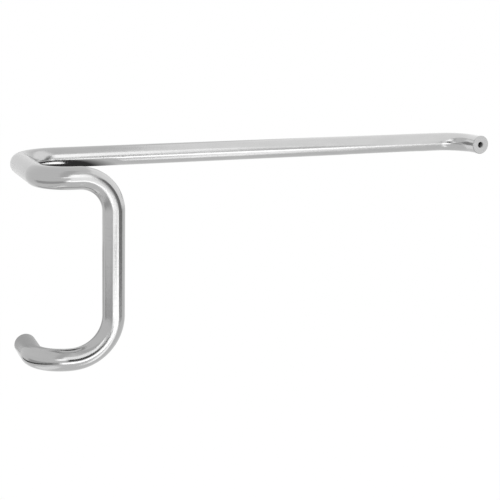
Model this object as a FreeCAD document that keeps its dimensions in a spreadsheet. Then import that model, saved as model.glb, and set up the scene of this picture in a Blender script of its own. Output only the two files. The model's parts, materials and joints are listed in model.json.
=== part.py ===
import FreeCAD, Part
import math
import os

# Offset pull handle: one round steel bar, cold bent six times.
# A long push bar runs along X behind the door. Its right end turns back to the door and
# is tapped there. Its left end crosses to the front past the edge of the door, and goes on
# as an offset pull: a top arm to the right, the grip down, a foot arm to the left and a
# foot that turns back to the door and is tapped like the other end.
# Origin: centre of the push end's face, which lies on the door. +X along the push bar,
# away from the crossing, +Y from the door towards the push bar, +Z up.

Vector = FreeCAD.Vector
doc = FreeCAD.newDocument("offset_pull_handle")

# Driving sizes, in millimetres and degrees
sheet = doc.addObject("Spreadsheet::Sheet", "sizes")
SIZES = [
    ("bar_diameter", 25.4, "solid round bar"),
    ("tight_bend_radius", 38.0, "to the bar's axis: end, near, grip top and foot bends"),
    ("wide_bend_radius", 48.5, "to the bar's axis: far bend and grip bottom bend"),
    ("push_length", 636.0, "push bar, from the end leg's axis to the crossing's axis"),
    ("push_projection", 54.0, "push bar's axis above its side of the door"),
    ("door_gap", 44.5, "between the planes of the two end faces"),
    ("pull_projection", 76.0, "pull's axis above its side of the door"),
    ("top_arm_straight", 1.0, "straight between the near bend and the grip top bend"),
    ("grip_length", 205.0, "grip, from the top arm's axis to the foot arm's axis"),
    ("grip_lean", 1.2, "the grip's foot leans this far towards the crossing"),
    ("foot_arm_straight", 0.8, "straight between the grip bottom bend and the foot bend"),
    ("end_chamfer", 0.8, "on the rim of both end faces"),
    ("tapping_diameter", 6.8, "tapping drill of the end holes, M8 coarse"),
    ("tapping_depth", 22.0, "full width of the hole, below its face"),
    ("drill_point_angle", 118.0, "bottom of the hole"),
    ("countersink_diameter", 9.0, "mouth of the hole"),
    ("countersink_angle", 90.0, "mouth of the hole"),
]
for row, (alias, value, note) in enumerate(SIZES, start=1):
    sheet.set("A%d" % row, alias)
    sheet.set("B%d" % row, str(value))
    sheet.set("C%d" % row, note)
    sheet.setAlias("B%d" % row, alias)
doc.recompute()


def size(alias):
    """The value of one cell of the sheet."""
    return float(sheet.get(alias))


def bend_set_back(radius, turn):
    """Distance from a bend's corner to where its arc starts."""
    return radius * math.tan(turn / 2)


# Corners of the bar's axis, from the push end to the foot
tight = size("tight_bend_radius")
wide = size("wide_bend_radius")
lean = math.radians(size("grip_lean"))
quarter_turn = math.pi / 2
down_the_grip = Vector(-math.sin(lean), 0, -math.cos(lean))
crossing_length = size("push_projection") + size("door_gap") + size("pull_projection")
top_arm = (
    bend_set_back(tight, quarter_turn)
    + size("top_arm_straight")
    + bend_set_back(tight, quarter_turn + lean)
)
foot_arm = (
    bend_set_back(wide, quarter_turn - lean)
    + size("foot_arm_straight")
    + bend_set_back(tight, quarter_turn)
)
push_end = Vector(0, 0, 0)
end_corner = push_end + Vector(0, size("push_projection"), 0)
far_corner = end_corner + Vector(-size("push_length"), 0, 0)
near_corner = far_corner + Vector(0, -crossing_length, 0)
grip_top_corner = near_corner + Vector(top_arm, 0, 0)
grip_bottom_corner = grip_top_corner + down_the_grip * size("grip_length")
foot_corner = grip_bottom_corner + Vector(-foot_arm, 0, 0)
foot_end = foot_corner + Vector(0, size("pull_projection"), 0)
BENDS = [
    (end_corner, tight),
    (far_corner, wide),
    (near_corner, tight),
    (grip_top_corner, tight),
    (grip_bottom_corner, wide),
    (foot_corner, tight),
]


def bent_axis(start, bends, end):
    """Edges of straight runs joined by tangent arcs, one arc at each (corner, radius)."""
    corners = [start] + [corner for corner, _ in bends] + [end]
    edges = []
    reached = start
    for index, (corner, radius) in enumerate(bends, start=1):
        back = (corners[index - 1] - corner).normalize()
        onward = (corners[index + 1] - corner).normalize()
        turn = math.pi - back.getAngle(onward)
        set_back = bend_set_back(radius, turn)
        inward = (back + onward).normalize()
        arc_start = corner + back * set_back
        arc_middle = corner + inward * (radius / math.cos(turn / 2) - radius)
        arc_end = corner + onward * set_back
        edges.append(Part.LineSegment(reached, arc_start).toShape())
        edges.append(Part.Arc(arc_start, arc_middle, arc_end).toShape())
        reached = arc_end
    edges.append(Part.LineSegment(reached, end).toShape())
    return edges


axis_edges = bent_axis(push_end, BENDS, foot_end)
bar_axis = doc.addObject("Part::Feature", "bar_axis")
bar_axis.Shape = Part.Wire(axis_edges)

# The bar: its round section swept along the axis
section = doc.addObject("Part::Circle", "bar_section")
section.setExpression("Radius", "sizes.bar_diameter / 2")
section.Placement = FreeCAD.Placement(push_end, FreeCAD.Rotation(Vector(0, 0, 1), Vector(0, 1, 0)))
bent_bar = doc.addObject("Part::Sweep", "bent_bar")
bent_bar.Sections = [section]
bent_bar.Spine = (bar_axis, ["Edge%d" % (number + 1) for number in range(len(axis_edges))])
bent_bar.Solid = True
doc.recompute()


def rim_of(shape, centre, radius):
    """Number of the circular edge round an end face."""
    for number, edge in enumerate(shape.Edges, start=1):
        curve = edge.Curve
        if isinstance(curve, Part.Circle) and abs(curve.Radius - radius) < 0.001:
            if (curve.Center - centre).Length < 0.001:
                return number
    raise RuntimeError("no rim at %s" % centre)


# Both end faces have a chamfered rim
bar_radius = size("bar_diameter") / 2
chamfered_bar = doc.addObject("Part::Chamfer", "chamfered_bar")
chamfered_bar.Base = bent_bar
chamfered_bar.Edges = [
    (rim_of(bent_bar.Shape, end, bar_radius), size("end_chamfer"), size("end_chamfer"))
    for end in (push_end, foot_end)
]


def tapped_hole_cutter(name, mouth, inward):
    """A tapping drill's hole with its point, and a countersink, from mouth along inward."""
    place = FreeCAD.Placement(mouth, FreeCAD.Rotation(Vector(0, 0, 1), inward))
    drill = doc.addObject("Part::Cylinder", name + "_drill")
    drill.setExpression("Radius", "sizes.tapping_diameter / 2")
    drill.setExpression("Height", "sizes.tapping_depth")
    drill.Placement = place
    point = doc.addObject("Part::Cone", name + "_drill_point")
    point.setExpression("Radius1", "sizes.tapping_diameter / 2")
    point.Radius2 = 0
    point.setExpression("Height", "sizes.tapping_diameter / 2 / tan(sizes.drill_point_angle * 1deg / 2)")
    point.Placement = FreeCAD.Placement(mouth + inward * size("tapping_depth"), place.Rotation)
    sink = doc.addObject("Part::Cone", name + "_countersink")
    sink.setExpression("Radius1", "sizes.countersink_diameter / 2")
    sink.Radius2 = 0
    sink.setExpression("Height", "sizes.countersink_diameter / 2 / tan(sizes.countersink_angle * 1deg / 2)")
    sink.Placement = place
    cutter = doc.addObject("Part::MultiFuse", name)
    cutter.Shapes = [drill, point, sink]
    return cutter


push_hole = tapped_hole_cutter("push_end_hole", push_end, Vector(0, 1, 0))
foot_hole = tapped_hole_cutter("foot_hole", foot_end, Vector(0, -1, 0))
push_end_tapped = doc.addObject("Part::Cut", "push_end_tapped")
push_end_tapped.Base = chamfered_bar
push_end_tapped.Tool = push_hole
handle_bar = doc.addObject("Part::Cut", "handle_bar")
handle_bar.Label = "handle_bar"
handle_bar.Base = push_end_tapped
handle_bar.Tool = foot_hole
doc.recompute()

# Nothing is written unless every object of the document is sound
for item in doc.Objects:
    if {"Invalid", "Error"} & set(item.State):
        raise RuntimeError("%s failed: %s" % (item.Name, item.State))
for item in (bent_bar, handle_bar):
    if item.Shape.isNull() or not item.Shape.isValid() or len(item.Shape.Solids) != 1:
        raise RuntimeError("%s is not one valid solid" % item.Name)
swept_volume = math.pi * bar_radius**2 * bar_axis.Shape.Length
print("axis length %.1f mm" % bar_axis.Shape.Length)
print("bent bar volume %.0f mm3, section times length %.0f mm3" % (bent_bar.Shape.Volume, swept_volume))

os.makedirs("parts", exist_ok=True)
for part in (handle_bar,):
    part.Shape.exportStep("parts/%s.step" % part.Label)
    print("%s: %d faces, volume %.0f mm3" % (part.Label, len(part.Shape.Faces), part.Shape.Volume))
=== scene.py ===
import bmesh
import bpy
import json
import math
from bpy.props import FloatProperty, FloatVectorProperty, IntProperty, PointerProperty
from mathutils import Matrix, Vector


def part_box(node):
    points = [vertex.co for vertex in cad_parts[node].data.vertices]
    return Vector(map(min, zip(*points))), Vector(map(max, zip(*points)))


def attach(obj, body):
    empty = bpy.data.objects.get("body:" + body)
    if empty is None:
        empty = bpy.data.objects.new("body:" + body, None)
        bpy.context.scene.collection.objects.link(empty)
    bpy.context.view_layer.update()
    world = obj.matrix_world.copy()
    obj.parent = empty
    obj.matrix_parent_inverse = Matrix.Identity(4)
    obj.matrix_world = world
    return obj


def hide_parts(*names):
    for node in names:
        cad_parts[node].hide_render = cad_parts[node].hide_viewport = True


bl_info = {
    "name": "Offset pull handle",
    "version": (1, 0, 0),
    "blender": (4, 5, 0),
    "location": "View3D > Sidebar > Handle",
    "description": "A bent round steel bar: push bar and offset pull in one, with tapped ends",
    "category": "Add Mesh",
}

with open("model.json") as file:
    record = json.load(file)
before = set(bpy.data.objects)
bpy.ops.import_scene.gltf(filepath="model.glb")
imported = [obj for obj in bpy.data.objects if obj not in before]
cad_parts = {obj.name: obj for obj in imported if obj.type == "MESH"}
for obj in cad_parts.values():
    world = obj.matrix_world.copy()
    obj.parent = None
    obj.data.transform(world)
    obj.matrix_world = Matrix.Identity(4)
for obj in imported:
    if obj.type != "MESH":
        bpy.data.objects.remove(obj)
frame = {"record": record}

MM = 0.001
FULL_TURN = 2 * math.pi
QUARTER_TURN = math.pi / 2
WHITE = (1.0, 1.0, 1.0, 1.0)
BODY = "root"
CAD_NODE = "handle_bar"
UV_NAME = "bar_uv"

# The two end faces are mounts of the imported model, so their places come from it
MOUNTS = {mount["name"]: mount for mount in frame["record"]["mounts"]}
PUSH_END = Vector(MOUNTS["push_end_face"]["pos_m"])
FOOT_END = Vector(MOUNTS["foot_face"]["pos_m"])
CAD_LOW, CAD_HIGH = (Vector(corner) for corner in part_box(CAD_NODE))

# Points closer than the first are one point, the second tells an end's rim from the rest, and
# the third rounds the angles by which a rim is put in order, in radians
WELD_REACH = 0.001 * MM
RIM_REACH = 0.1 * MM
ANGLE_DIGITS = 6

# Rings of the turned face, rings in each turn of the thread, and edges that aren't smoothed
FACE_STEPS = 6
STEPS_PER_THREAD_TURN = 10
SHARP_EDGE = math.radians(25)

# The thread's groove is narrower than its pitch by this much, which leaves a flat crest
GROOVE_NARROWING = 1.14

# Patterns of the brushed bar: their scale round it and along it, per millimetre, and how far
# each one swings the tone
BELT_SCALE = (0.04, 6.0)
BELT_TONE = 0.05
STREAK_SCALE = (1.2, 0.02)
STREAK_TONE = 0.08
CLOUD_SCALE = (0.10, 0.03)
CLOUD_TONE = 0.12
ROUGHNESS_SWING = 0.04
BELT_BUMP_WIDTH = 0.003

# Patterns of the turned faces: rings per millimetre, patches per metre and their swings
FACE_TONE = 0.9
RING_SCALE = 6.0
RING_TONE = 0.12
RING_DEPTH = 0.01 * MM
PATCH_SCALE = 300.0
PATCH_TONE = 0.10
PATCH_ROUGHNESS = 0.1

# The floor lies this far below the handle, reaches this far, and glows where it is seen
FLOOR_DROP = 3.5
FLOOR_REACH = 40.0
FLOOR_GLOW = 0.8

LAMP_PLACE = (-0.3, 0.2, 2.2)
LAMP_LENGTH = 1.6
LAMP_WIDTH = 1.2
LAMP_POWER = 12.0

STAGE_CENTRE = Vector((-0.45, -0.03, -0.05))

# Flat panels round the stage's centre: name, direction in degrees to the right of the front
# and above level, distance in metres, width and height in degrees, level, where 1 is white,
# and how far it is rolled, in degrees. Softboxes are bright, and cards are grey or black.
PANELS = (
    ("low_softbox", 8, -19.5, 4.95, 61.5, 14.5, 2.9, 3.5),
    ("high_softbox", -4, 25.5, 4.8, 58, 33.5, 2.2, -4.5),
    ("right_card", 57, 6.5, 3.9, 48, 54.5, 0.3, 0),
    ("tall_softbox", 18, 14, 3.1, 5.5, 75, 1.8, -3.5),
    ("low_right_softbox", 34, -41, 2.2, 14.5, 39, 2.0, 4.5),
    ("left_wing", -31, 48, 1.05, 21.5, 68, 0.8, -5),
    ("front_card", -0.5, -1, 1.03, 24, 23.5, 0.1, -0.5),
    ("left_card", -69.5, -25.5, 0.88, 79.5, 18.5, 0.6, 0),
    ("end_softbox", 92, 36.5, 0.41, 99, 99, 1.4, 0),
    ("near_softbox", -14.5, 4, 0.41, 32, 26, 1.7, 0),
)

# Small panels close to the bar, by two opposite corners, and their level. One lies under the
# push bar beside the crossing, one behind the end leg, and the rest round the foot.
NEAR_PANELS = (
    ("under_softbox", Vector((-0.595, 0.012, -0.0295)), Vector((-0.572, 0.034, -0.0295)), 2.4),
    ("end_back_softbox", Vector((-0.14, 0.12, -0.08)), Vector((-0.02, 0.12, 0.06)), 1.35),
    ("foot_back_card", Vector((-0.7, 0.03, -0.235)), Vector((-0.59, 0.03, -0.11)), 0.65),
    ("foot_side_card", Vector((-0.72, -0.22, -0.26)), Vector((-0.72, 0.01, -0.241)), 0.05),
    ("foot_low_softbox", Vector((-0.76, -0.24, -0.36)), Vector((-0.67, -0.02, -0.36)), 1.4),
)

# One more card lies under the push bar. It is nearly black at its left and fades to white
# between two places, which are further right towards the back by the slant.
UNDER_CARD = (Vector((-0.595, -0.03, -0.03)), Vector((-0.495, 0.09, -0.03)))
UNDER_CARD_FADE = (-0.555, -0.522)
UNDER_CARD_SLANT = 0.35
UNDER_CARD_LEVEL = 0.06

# Corners of a four-sided sheet, in halves of its two sides
SHEET_CORNERS = ((-1, -1), (1, -1), (1, 1), (-1, 1))

CAMERA_PLACE = Vector((-0.85946, -1.25609, 0.17451))
CAMERA_YAW = math.radians(22.218)
CAMERA_PITCH = math.radians(12.406)
CAMERA_ROLL = math.radians(0.460)
CAMERA_LENS = 76.94
CAMERA_SENSOR = 36


class HandleSizes(bpy.types.PropertyGroup):
    """Sizes of the bar, its bends and its tapped ends."""

    bar_diameter: FloatProperty(
        name="Bar diameter", description="Solid round bar", default=25.4 * MM, unit="LENGTH"
    )
    tight_bend: FloatProperty(
        name="Tight bend radius",
        description="To the axis, at the end, near, grip top and foot bends",
        default=38 * MM,
        unit="LENGTH",
    )
    wide_bend: FloatProperty(
        name="Wide bend radius",
        description="To the axis, at the far bend and the grip bottom bend",
        default=48.5 * MM,
        unit="LENGTH",
    )
    push_length: FloatProperty(
        name="Push bar length",
        description="From the end leg's axis to the crossing's axis",
        default=636 * MM,
        unit="LENGTH",
    )
    top_arm_straight: FloatProperty(
        name="Top arm straight",
        description="Between the near bend and the grip top bend",
        default=1 * MM,
        unit="LENGTH",
    )
    grip_lean: FloatProperty(
        name="Grip lean",
        description="The grip's foot leans this far towards the crossing",
        default=math.radians(1.2),
        unit="ROTATION",
    )
    bend_steps: IntProperty(name="Bend steps", description="Rings in each bend", default=48)
    ring_steps: IntProperty(name="Ring steps", description="Points round the bar", default=96)
    end_chamfer: FloatProperty(
        name="End chamfer", description="On the rim of both ends", default=0.8 * MM, unit="LENGTH"
    )
    countersink_diameter: FloatProperty(
        name="Countersink", description="Mouth of the tapped hole", default=9 * MM, unit="LENGTH"
    )
    tapping_diameter: FloatProperty(
        name="Tapping drill", description="Crest of the thread", default=6.8 * MM, unit="LENGTH"
    )
    thread_diameter: FloatProperty(
        name="Thread", description="Root of the thread", default=8 * MM, unit="LENGTH"
    )
    thread_pitch: FloatProperty(
        name="Thread pitch", description="Rise in one turn", default=1.25 * MM, unit="LENGTH"
    )
    tapping_depth: FloatProperty(
        name="Hole depth", description="Full width of the hole", default=22 * MM, unit="LENGTH"
    )
    thread_depth: FloatProperty(
        name="Thread depth", description="Where the thread runs out", default=18 * MM, unit="LENGTH"
    )
    drill_point_angle: FloatProperty(
        name="Drill point",
        description="Cone at the bottom of the hole",
        default=math.radians(118),
        unit="ROTATION",
    )


class HandleFinish(bpy.types.PropertyGroup):
    """Colours and finish of the steel, and the floor's colour."""

    steel: FloatVectorProperty(
        name="Steel", description="Reflected colour", subtype="COLOR", default=(0.44, 0.44, 0.44)
    )
    roughness: FloatProperty(name="Roughness", description="Of the brushed bar", default=0.13)
    brush_depth: FloatProperty(
        name="Brush depth",
        description="Depth of the fine belt lines round the bar",
        default=0.02 * MM,
        unit="LENGTH",
        precision=6,
    )
    face_roughness: FloatProperty(
        name="Face roughness", description="Of the turned end faces", default=0.32
    )
    # painted shade: how far the tapped hole's colour is darkened, and how deep that darkening is
    # full
    hole_shade: FloatProperty(
        name="Hole shade", description="How much darker the tapped hole gets", default=0.75
    )
    hole_shade_depth: FloatProperty(
        name="Hole shade depth",
        description="How far below its face the tapped hole is at its darkest",
        default=2 * MM,
        unit="LENGTH",
    )
    floor: FloatVectorProperty(
        name="Floor", description="Floor and backdrop", subtype="COLOR", default=(1.0, 1.0, 1.0)
    )


def plug(tree, value, target):
    """Links a socket, or sets a plain value."""
    source = value.socket if isinstance(value, Socket) else value
    if isinstance(source, bpy.types.NodeSocket):
        tree.links.new(source, target)
    else:
        target.default_value = source


def add_node(tree, kind, settings=(), in_order=(), **named):
    """Any node: its settings first, then its sockets, in order or by name with _ for a space."""
    node = tree.nodes.new(kind)
    for key, value in dict(settings).items():
        setattr(node, key, value)
    for value, target in zip(in_order, node.inputs):
        plug(tree, value, target)
    for key, value in named.items():
        plug(tree, value, node.inputs[key.replace("_", " ")])
    return node


class Socket:
    """A shader socket with the usual operators, each of which adds its Math node."""

    def __init__(self, tree, socket):
        self.tree = tree
        self.socket = socket

    def math(self, operation, *values):
        node = add_node(self.tree, "ShaderNodeMath", {"operation": operation}, values)
        return Socket(self.tree, node.outputs[0])

    def __add__(self, other):
        return self.math("ADD", self, other)

    def __radd__(self, other):
        return self.math("ADD", other, self)

    def __sub__(self, other):
        return self.math("SUBTRACT", self, other)

    def __rsub__(self, other):
        return self.math("SUBTRACT", other, self)

    def __mul__(self, other):
        return self.math("MULTIPLY", self, other)

    def __rmul__(self, other):
        return self.math("MULTIPLY", other, self)

    def __truediv__(self, other):
        return self.math("DIVIDE", self, other)

    def __rtruediv__(self, other):
        return self.math("DIVIDE", other, self)

    def cos(self):
        return self.math("COSINE", self)

    def sin(self):
        return self.math("SINE", self)

    def max(self, other):
        return self.math("MAXIMUM", self, other)

    def min(self, other):
        return self.math("MINIMUM", self, other)


class Shader:
    """A material's node tree, filled one node at a time."""

    def __init__(self, name):
        self.material = bpy.data.materials.new(name)
        self.material.use_nodes = True
        self.tree = self.material.node_tree
        self.tree.nodes.clear()

    def node(self, kind, settings=(), output=0, in_order=(), **named):
        """A node by its one output that is wanted, or a list where output is a tuple."""
        node = add_node(self.tree, kind, settings, in_order, **named)
        if isinstance(output, tuple):
            return [Socket(self.tree, node.outputs[name]) for name in output]
        return Socket(self.tree, node.outputs[output])

    def finish(self, surface):
        """Leads the surface out and gives the material."""
        add_node(self.tree, "ShaderNodeOutputMaterial", Surface=surface)
        return self.material


def bar_uv(shader):
    """The bar's own UV map: metres along it, and how much of a turn round it."""
    uv = shader.node("ShaderNodeUVMap", {"uv_map": UV_NAME})
    return shader.node("ShaderNodeSeparateXYZ", output=("X", "Y"), Vector=uv)


def bar_coordinates(shader, around_scale, along_scale):
    """Millimetres round the bar and along it, each to its own scale, with no seam."""
    along, turn = bar_uv(shader)
    angle = turn * FULL_TURN
    reach = bpy.context.scene.handle_sizes.bar_diameter / 2 / MM * around_scale
    return shader.node(
        "ShaderNodeCombineXYZ",
        X=angle.cos() * reach,
        Y=angle.sin() * reach,
        Z=along * (along_scale / MM),
    )


def noise(shader, vector, scale=1.0, detail=2.0):
    """A noise value from 0 to 1."""
    return shader.node("ShaderNodeTexNoise", Vector=vector, Scale=scale, Detail=detail)


def swing(value, reach):
    """A noise value that swings about 0, over the reach from its lowest to its highest."""
    return (value - 0.5) * reach


def steel_surface(shader, tone, roughness, relief):
    """The steel's metal, with its colour times a tone."""
    steel = bpy.context.scene.handle_finish.steel
    colour = shader.node(
        "ShaderNodeMix",
        {"data_type": "RGBA", "blend_type": "MULTIPLY"},
        output=2,
        Factor=1.0,
        A=(*steel, 1.0),
        B=shader.node("ShaderNodeCombineColor", Red=tone, Green=tone, Blue=tone),
    )
    metal = shader.node(
        "ShaderNodeBsdfPrincipled",
        Base_Color=colour,
        Metallic=1.0,
        Roughness=roughness,
        Normal=relief,
    )
    return shader.finish(metal)


def brushed_steel():
    """Satin steel: fine belt lines round the bar, and faint drawn streaks along it."""
    finish = bpy.context.scene.handle_finish
    shader = Shader("brushed_steel")
    belt_lines = noise(shader, bar_coordinates(shader, *BELT_SCALE), detail=1.0)
    streaks = noise(shader, bar_coordinates(shader, *STREAK_SCALE), detail=3.0)
    cloud = noise(shader, bar_coordinates(shader, *CLOUD_SCALE))
    tone = 1.0 + swing(streaks, STREAK_TONE) + swing(cloud, CLOUD_TONE)
    tone = tone + swing(belt_lines, BELT_TONE)
    roughness = finish.roughness + swing(streaks, ROUGHNESS_SWING)
    roughness = roughness + swing(cloud, ROUGHNESS_SWING)
    relief = shader.node(
        "ShaderNodeBump",
        Height=belt_lines,
        Distance=finish.brush_depth,
        Strength=1.0,
        Filter_Width=BELT_BUMP_WIDTH,
    )
    return steel_surface(shader, tone, roughness, relief)


def turned_steel():
    """The faced ends: fine rings round the hole, and painted shade that darkens the hole's colour
    deeper inside it.
    """
    finish = bpy.context.scene.handle_finish
    bar_radius = bpy.context.scene.handle_sizes.bar_diameter / 2
    shader = Shader("turned_steel")
    # across the face this is the distance from the rim, and down the hole it is more than
    # the bar's radius
    from_rim = bar_uv(shader)[0] / MM
    rings = shader.node(
        "ShaderNodeTexNoise", {"noise_dimensions": "1D"}, W=from_rim, Scale=RING_SCALE, Detail=2.0
    )
    patch = noise(shader, shader.node("ShaderNodeTexCoord", output="Object"), PATCH_SCALE)
    # painted shade: the hole's colour darkens with depth below the face, fully at hole_shade_depth
    down_the_hole = (from_rim - bar_radius / MM) / (finish.hole_shade_depth / MM)
    shade = 1.0 - down_the_hole.max(0.0).min(1.0) * finish.hole_shade
    tone = (FACE_TONE + swing(rings, RING_TONE) + swing(patch, PATCH_TONE)) * shade
    roughness = finish.face_roughness + swing(patch, PATCH_ROUGHNESS)
    relief = shader.node("ShaderNodeBump", Height=rings, Distance=RING_DEPTH, Strength=1.0)
    return steel_surface(shader, tone, roughness, relief)


def axis_corners():
    """(corner, bend radius) along the bar's axis; the two ends have no bend."""
    sizes = bpy.context.scene.handle_sizes
    bar_radius = sizes.bar_diameter / 2
    tight, wide = sizes.tight_bend, sizes.wide_bend
    push_y = CAD_HIGH.y - bar_radius
    pull_y = CAD_LOW.y + bar_radius
    crossing_x = PUSH_END.x - sizes.push_length
    # a square bend starts its own radius before the corner, and a wider turn a little more
    top_arm = (
        tight
        + sizes.top_arm_straight
        + tight * math.tan((QUARTER_TURN + sizes.grip_lean) / 2)
    )
    grip_top_x = crossing_x + top_arm
    grip_bottom_x = grip_top_x + FOOT_END.z * math.tan(sizes.grip_lean)
    return [
        (PUSH_END, 0.0),
        (Vector((PUSH_END.x, push_y, PUSH_END.z)), tight),
        (Vector((crossing_x, push_y, PUSH_END.z)), wide),
        (Vector((crossing_x, pull_y, PUSH_END.z)), tight),
        (Vector((grip_top_x, pull_y, PUSH_END.z)), tight),
        (Vector((grip_bottom_x, pull_y, FOOT_END.z)), wide),
        (Vector((FOOT_END.x, pull_y, FOOT_END.z)), tight),
        (FOOT_END, 0.0),
    ]


def captured(tree, curve, name, value):
    """Outputs of a node that keeps a value at a curve's points, under its name."""
    keeper = add_node(tree, "GeometryNodeCaptureAttribute", Geometry=curve)
    keeper.capture_items.new("FLOAT", name)
    plug(tree, value, keeper.inputs[name])
    return keeper.outputs


def swept_bar_tree():
    """Geometry Nodes: a corner line becomes a bar with rounded bends and its own UV map."""
    tree = bpy.data.node_groups.new("swept_bar", "GeometryNodeTree")
    for name, kind in (
        ("Corner line", "NodeSocketGeometry"),
        ("Bar radius", "NodeSocketFloat"),
        ("Bend steps", "NodeSocketInt"),
        ("Ring steps", "NodeSocketInt"),
        ("Steel", "NodeSocketMaterial"),
    ):
        tree.interface.new_socket(name, in_out="INPUT", socket_type=kind)
    tree.interface.new_socket("Bar", in_out="OUTPUT", socket_type="NodeSocketGeometry")
    given = add_node(tree, "NodeGroupInput").outputs

    line = add_node(tree, "GeometryNodeMeshToCurve", Mesh=given["Corner line"])
    bend_radius = add_node(
        tree, "GeometryNodeInputNamedAttribute", {"data_type": "FLOAT"}, Name="bend_radius"
    )
    bends = add_node(
        tree,
        "GeometryNodeFilletCurve",
        {"mode": "POLY"},
        Curve=line.outputs[0],
        Radius=bend_radius.outputs["Attribute"],
        Count=given["Bend steps"],
    )
    place = add_node(tree, "GeometryNodeSplineParameter")
    axis = captured(tree, bends.outputs[0], "along", place.outputs["Length"])

    # an arc of a full turn, with one point more than the ring has, so that the UV map ends
    # at 1 where it meets its start
    ring_points = add_node(
        tree, "ShaderNodeMath", {"operation": "ADD"}, (given["Ring steps"], 1.0)
    )
    ring = add_node(
        tree,
        "GeometryNodeCurveArc",
        {"mode": "RADIUS"},
        Sweep_Angle=FULL_TURN,
        Resolution=ring_points.outputs[0],
        Radius=given["Bar radius"],
    )
    turn = add_node(tree, "GeometryNodeSplineParameter")
    section = captured(tree, ring.outputs["Curve"], "around", turn.outputs["Factor"])

    skin = add_node(
        tree,
        "GeometryNodeCurveToMesh",
        Curve=axis["Geometry"],
        Profile_Curve=section["Geometry"],
    )
    pair = add_node(tree, "ShaderNodeCombineXYZ", X=axis["along"], Y=section["around"])
    mapped = add_node(
        tree,
        "GeometryNodeStoreNamedAttribute",
        {"data_type": "FLOAT2", "domain": "CORNER"},
        Geometry=skin.outputs[0],
        Name=UV_NAME,
        Value=pair.outputs[0],
    )
    welded = add_node(
        tree, "GeometryNodeMergeByDistance", Geometry=mapped.outputs[0], Distance=WELD_REACH
    )
    smooth = add_node(
        tree, "GeometryNodeSetShadeSmooth", Geometry=welded.outputs[0], Shade_Smooth=True
    )
    real = add_node(tree, "GeometryNodeRealizeInstances", Geometry=smooth.outputs[0])
    steel = add_node(
        tree, "GeometryNodeSetMaterial", Geometry=real.outputs[0], Material=given["Steel"]
    )
    add_node(tree, "NodeGroupOutput", Bar=steel.outputs[0])
    return tree


def swept_bar(material):
    """The bar's skin as a mesh, open at both ends."""
    sizes = bpy.context.scene.handle_sizes
    corners = axis_corners()
    line = bpy.data.meshes.new("corner_line")
    line.from_pydata(
        [tuple(corner) for corner, _ in corners],
        [(index, index + 1) for index in range(len(corners) - 1)],
        [],
    )
    radii = line.attributes.new("bend_radius", "FLOAT", "POINT")
    for index, (_, radius) in enumerate(corners):
        radii.data[index].value = radius
    holder = bpy.data.objects.new("corner_line", line)
    bpy.context.scene.collection.objects.link(holder)
    modifier = holder.modifiers.new("swept_bar", "NODES")
    modifier.node_group = swept_bar_tree()
    values = {
        "Bar radius": sizes.bar_diameter / 2,
        "Bend steps": sizes.bend_steps,
        "Ring steps": sizes.ring_steps,
        "Steel": material,
    }
    for item in modifier.node_group.interface.items_tree:
        if item.item_type == "SOCKET" and item.in_out == "INPUT" and item.name in values:
            modifier[item.identifier] = values[item.name]
    bpy.context.view_layer.update()
    evaluated = holder.evaluated_get(bpy.context.evaluated_depsgraph_get())
    mesh = bpy.data.meshes.new_from_object(evaluated)
    bpy.data.objects.remove(holder)
    return mesh


def end_rim(work, face_centre, inward):
    """The open rim of one end in order round it, and two directions square across the end."""
    rim = [
        vert
        for vert in work.verts
        if vert.is_boundary and abs((vert.co - face_centre).dot(inward)) < RIM_REACH
    ]
    first = min(rim, key=lambda vert: vert.index)
    to_first = first.co - face_centre
    across = (to_first - inward * to_first.dot(inward)).normalized()
    beside = inward.cross(across)

    def angle(vert):
        offset = vert.co - face_centre
        return math.atan2(offset.dot(beside), offset.dot(across)) % FULL_TURN

    # rounded, so that a first point a hair short of a full turn still comes first
    full_turn = round(FULL_TURN, ANGLE_DIGITS)
    rim.sort(key=lambda vert: round(angle(vert), ANGLE_DIGITS) % full_turn)
    return rim, across, beside


def face_radii(sizes):
    """Radius of each ring of the turned face, from the chamfer to the hole's mouth."""
    outer = sizes.bar_diameter / 2 - sizes.end_chamfer
    mouth = sizes.countersink_diameter / 2
    return [outer + (mouth - outer) * step / FACE_STEPS for step in range(FACE_STEPS + 1)]


def hole_depths(sizes):
    """Depth of each ring of the tapped hole, down to where the drill's point starts."""
    steps = round(sizes.tapping_depth / sizes.thread_pitch * STEPS_PER_THREAD_TURN)
    return [sizes.tapping_depth * step / steps for step in range(1, steps + 1)]


def thread_radius(sizes, depth, turn):
    """Wall of the tapped hole: its countersink, then a V thread that runs out into plain bore."""
    crest = sizes.tapping_diameter / 2
    root = sizes.thread_diameter / 2
    countersink = sizes.countersink_diameter / 2 - depth
    phase = (depth / sizes.thread_pitch - turn) % 1.0
    groove = max(0.0, 1.0 - abs(phase * 2 - 1) * GROOVE_NARROWING)
    fade = min(1.0, max(0.0, (sizes.thread_depth - depth) / sizes.thread_pitch))
    return max(crest + (root - crest) * groove * fade, countersink)


def close_rings(work, rings, tip):
    """Faces from each (UV mark, points) ring to the next and from the last one to the tip."""
    uv = work.loops.layers.uv[UV_NAME]
    around = len(rings[0][1])
    faces = []

    def add_face(points, marks, turns):
        face = work.faces.new(points)
        for loop, mark, turn in zip(face.loops, marks, turns):
            loop[uv].uv = (mark, turn / around)
        faces.append(face)

    for (outer_mark, outer), (inner_mark, inner) in zip(rings, rings[1:]):
        for index in range(around):
            other = (index + 1) % around
            add_face(
                (outer[index], outer[other], inner[other], inner[index]),
                (outer_mark, outer_mark, inner_mark, inner_mark),
                (index, index + 1, index + 1, index),
            )
    last_mark, last = rings[-1]
    for index in range(around):
        other = (index + 1) % around
        add_face(
            (last[index], last[other], tip),
            (last_mark, last_mark, last_mark),
            (index, index + 1, index + 0.5),
        )
    return faces


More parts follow.
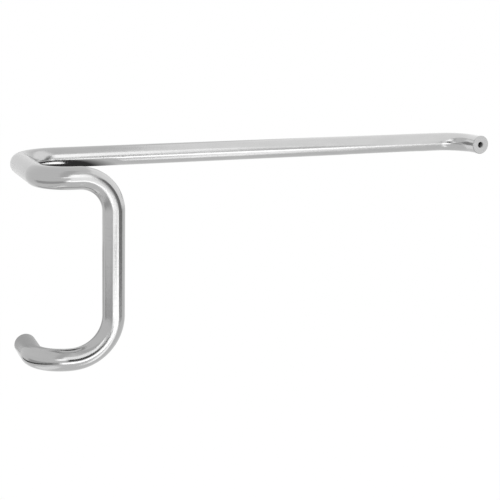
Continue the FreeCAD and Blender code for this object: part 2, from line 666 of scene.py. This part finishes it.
def tapped_end(mesh, face_centre, inward, face_material):
    """Closes one end of the skin with its chamfer, turned face and tapped, countersunk hole."""
    sizes = bpy.context.scene.handle_sizes
    bar_radius = sizes.bar_diameter / 2
    around = sizes.ring_steps
    work = bmesh.new()
    work.from_mesh(mesh)
    rim, across, beside = end_rim(work, face_centre, inward)
    # the skin is cut back to where the chamfer starts
    for vert in rim:
        vert.co += inward * sizes.end_chamfer

    def add_point(radius, depth, index):
        turn = FULL_TURN * index / around
        radial = across * math.cos(turn) + beside * math.sin(turn)
        return work.verts.new(face_centre + inward * depth + radial * radius)

    rings = [(0.0, rim)]
    for radius in face_radii(sizes):
        ring = [add_point(radius, 0.0, index) for index in range(around)]
        rings.append((bar_radius - radius, ring))
    for depth in hole_depths(sizes):
        ring = []
        for index in range(around):
            ring.append(add_point(thread_radius(sizes, depth, index / around), depth, index))
        rings.append((bar_radius + depth, ring))
    point_depth = sizes.tapping_diameter / 2 / math.tan(sizes.drill_point_angle / 2)
    tip = work.verts.new(face_centre + inward * (sizes.tapping_depth + point_depth))
    for face in close_rings(work, rings, tip):
        face.material_index = face_material
        face.smooth = True
    bmesh.ops.recalc_face_normals(work, faces=work.faces)
    for edge in work.edges:
        if edge.is_manifold and edge.calc_face_angle(0.0) > SHARP_EDGE:
            edge.smooth = False
    work.to_mesh(mesh)
    work.free()


class HANDLE_OT_bar(bpy.types.Operator):
    """Make the bent steel bar with its tapped ends"""

    bl_idname = "handle.bar"
    bl_label = "Bent bar"

    def execute(self, context):
        steel = brushed_steel()
        mesh = swept_bar(steel)
        mesh.materials.clear()
        mesh.materials.append(steel)
        mesh.materials.append(turned_steel())
        face_material = len(mesh.materials) - 1
        tapped_end(mesh, PUSH_END, Vector((0, 1, 0)), face_material)
        tapped_end(mesh, FOOT_END, Vector((0, -1, 0)), face_material)
        bar = bpy.data.objects.new("bent_steel_bar", mesh)
        context.scene.collection.objects.link(bar)
        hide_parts(CAD_NODE)
        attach(bar, BODY)
        return {"FINISHED"}


def seen_directly(shader):
    """1 for what the camera sees, straight or by way of metal or glass, and 0 for other light."""
    straight, metal, glass = shader.node(
        "ShaderNodeLightPath", output=("Is Camera Ray", "Is Glossy Ray", "Is Transmission Ray")
    )
    return straight.max(metal).max(glass)


def mix_shaders(shader, factor, first, second):
    """The first shader where the factor is 0, and the second where it is 1."""
    return shader.node("ShaderNodeMixShader", in_order=(factor, first, second))


def glow(shader, level):
    """Plain white light, brighter than white paper above level 1 and nearly black near 0."""
    return shader.node("ShaderNodeEmission", Color=WHITE, Strength=level)


def add_sheet(context, name, middle, half_right, half_up, material):
    """A flat four-sided sheet, by its middle and half of each side."""
    mesh = bpy.data.meshes.new(name)
    mesh.from_pydata(
        [tuple(middle + half_right * i + half_up * j) for i, j in SHEET_CORNERS],
        [],
        [(0, 1, 2, 3)],
    )
    mesh.materials.append(material)
    sheet = bpy.data.objects.new(name, mesh)
    context.scene.collection.objects.link(sheet)
    return sheet


def rolled(level_right, upright, roll):
    """The directions right and up of something that is rolled by an angle."""
    right = level_right * math.cos(roll) + upright * math.sin(roll)
    up = upright * math.cos(roll) - level_right * math.sin(roll)
    return right, up


def add_floor(context):
    """A wide pale floor, far below, because the handle hangs free and low softboxes light it."""
    shader = Shader("pale_floor")
    colour = context.scene.handle_finish.floor
    paint = shader.node("ShaderNodeBsdfDiffuse", Color=(*colour, 1.0))
    glow_share = seen_directly(shader) * FLOOR_GLOW
    material = shader.finish(mix_shaders(shader, glow_share, paint, glow(shader, 1.0)))
    middle = Vector((0, 0, CAD_LOW.z - FLOOR_DROP))
    half_right = Vector((FLOOR_REACH, 0, 0))
    half_up = Vector((0, FLOOR_REACH, 0))
    floor = add_sheet(context, "floor", middle, half_right, half_up, material)


def add_world(context):
    """An even white room."""
    world = bpy.data.worlds.new("white_room")
    world.use_nodes = True
    world.node_tree.nodes.clear()
    room = add_node(world.node_tree, "ShaderNodeBackground", Color=WHITE, Strength=1.0)
    add_node(world.node_tree, "ShaderNodeOutputWorld", Surface=room.outputs[0])
    context.scene.world = world


def add_panel(context, name, middle, half_right, half_up, material):
    """One flat softbox or card, which only shows as a reflection."""
    panel = add_sheet(context, name, middle, half_right, half_up, material)
    panel.visible_camera = False


def add_large_panels(context):
    """The softboxes and cards round the stage, each of them facing its centre."""
    for name, azimuth, elevation, distance, width, height, level, roll in PANELS:
        across = math.radians(azimuth)
        rise = math.radians(elevation)
        outward = Vector(
            (
                math.sin(across) * math.cos(rise),
                -math.cos(across) * math.cos(rise),
                math.sin(rise),
            )
        )
        level_right = Vector((math.cos(across), math.sin(across), 0))
        right, up = rolled(level_right, outward.cross(level_right), math.radians(roll))
        middle = STAGE_CENTRE + outward * distance
        half_right = right * (math.radians(width) * distance / 2)
        half_up = up * (math.radians(height) * distance / 2)
        shader = Shader(name)
        material = shader.finish(glow(shader, level))
        add_panel(context, name, middle, half_right, half_up, material)


def add_near_panel(context, name, low, high, material):
    """A panel square to one axis, between two opposite corners."""
    reach = (high - low) / 2
    halves = [Vector(axis) * half for axis, half in zip(Matrix.Identity(3), reach) if half]
    add_panel(context, name, (low + high) / 2, *halves, material)


def add_near_panels(context):
    """The small panels close to the bar, each of one level."""
    for name, low, high, level in NEAR_PANELS:
        shader = Shader(name)
        add_near_panel(context, name, low, high, shader.finish(glow(shader, level)))


def add_under_card(context):
    """The graded card that gives the dark streak beside the crossing."""
    card = Shader("under_card")
    place = card.node("ShaderNodeTexCoord", output="Object")
    across, back = card.node("ShaderNodeSeparateXYZ", output=("X", "Y"), Vector=place)
    dark_end, white_end = UNDER_CARD_FADE
    slanted = across - back * UNDER_CARD_SLANT
    fade = ((slanted - dark_end) / (white_end - dark_end)).max(0.0).min(1.0)
    graded = mix_shaders(card, fade, glow(card, UNDER_CARD_LEVEL), glow(card, 1.0))
    add_near_panel(context, "under_card", *UNDER_CARD, card.finish(graded))


def add_lamp(context):
    """A large soft lamp overhead."""
    lamp = bpy.data.lights.new("overhead_lamp", "AREA")
    lamp.shape = "RECTANGLE"
    lamp.size = LAMP_LENGTH
    lamp.size_y = LAMP_WIDTH
    lamp.energy = LAMP_POWER
    light = bpy.data.objects.new("overhead_lamp", lamp)
    context.scene.collection.objects.link(light)
    light.location = LAMP_PLACE
    light.visible_glossy = False


def add_camera(context):
    """The photograph's view: from the left, a little above, looking down along the bar."""
    ahead = Vector(
        (
            math.sin(CAMERA_YAW) * math.cos(CAMERA_PITCH),
            math.cos(CAMERA_YAW) * math.cos(CAMERA_PITCH),
            -math.sin(CAMERA_PITCH),
        )
    )
    level_right = Vector((math.cos(CAMERA_YAW), -math.sin(CAMERA_YAW), 0))
    right, up = rolled(level_right, level_right.cross(ahead), CAMERA_ROLL)
    data = bpy.data.cameras.new("photo_camera")
    data.sensor_width = CAMERA_SENSOR
    data.lens = CAMERA_LENS
    camera = bpy.data.objects.new("photo_camera", data)
    context.scene.collection.objects.link(camera)
    turn = Matrix((right, up, -ahead)).transposed().to_4x4()
    camera.matrix_world = Matrix.Translation(CAMERA_PLACE) @ turn
    context.scene.camera = camera


class HANDLE_OT_stage(bpy.types.Operator):
    """Set the floor, lights, world and camera"""

    bl_idname = "handle.stage"
    bl_label = "Stage"

    def execute(self, context):
        add_floor(context)
        add_world(context)
        add_large_panels(context)
        add_near_panels(context)
        add_under_card(context)
        add_lamp(context)
        add_camera(context)
        context.scene.view_settings.view_transform = "Standard"
        return {"FINISHED"}


class HANDLE_PT_panel(bpy.types.Panel):
    """The handle's sizes, finish and pieces"""

    bl_idname = "HANDLE_PT_panel"
    bl_label = "Offset pull handle"
    bl_space_type = "VIEW_3D"
    bl_region_type = "UI"
    bl_category = "Handle"

    def draw(self, context):
        for group in (context.scene.handle_sizes, context.scene.handle_finish):
            box = self.layout.box()
            for name in group.__annotations__:
                box.prop(group, name)
        for operator in OPERATORS:
            self.layout.operator(operator.bl_idname)


OPERATORS = (HANDLE_OT_bar, HANDLE_OT_stage)
CLASSES = (HandleSizes, HandleFinish) + OPERATORS + (HANDLE_PT_panel,)


def register():
    for item in CLASSES:
        bpy.utils.register_class(item)
    bpy.types.Scene.handle_sizes = PointerProperty(type=HandleSizes)
    bpy.types.Scene.handle_finish = PointerProperty(type=HandleFinish)


def unregister():
    del bpy.types.Scene.handle_finish
    del bpy.types.Scene.handle_sizes
    for item in reversed(CLASSES):
        bpy.utils.unregister_class(item)


def main():
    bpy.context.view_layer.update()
    register()
    bpy.ops.handle.bar()
    bpy.ops.handle.stage()


if __name__ == "__main__":
    main()
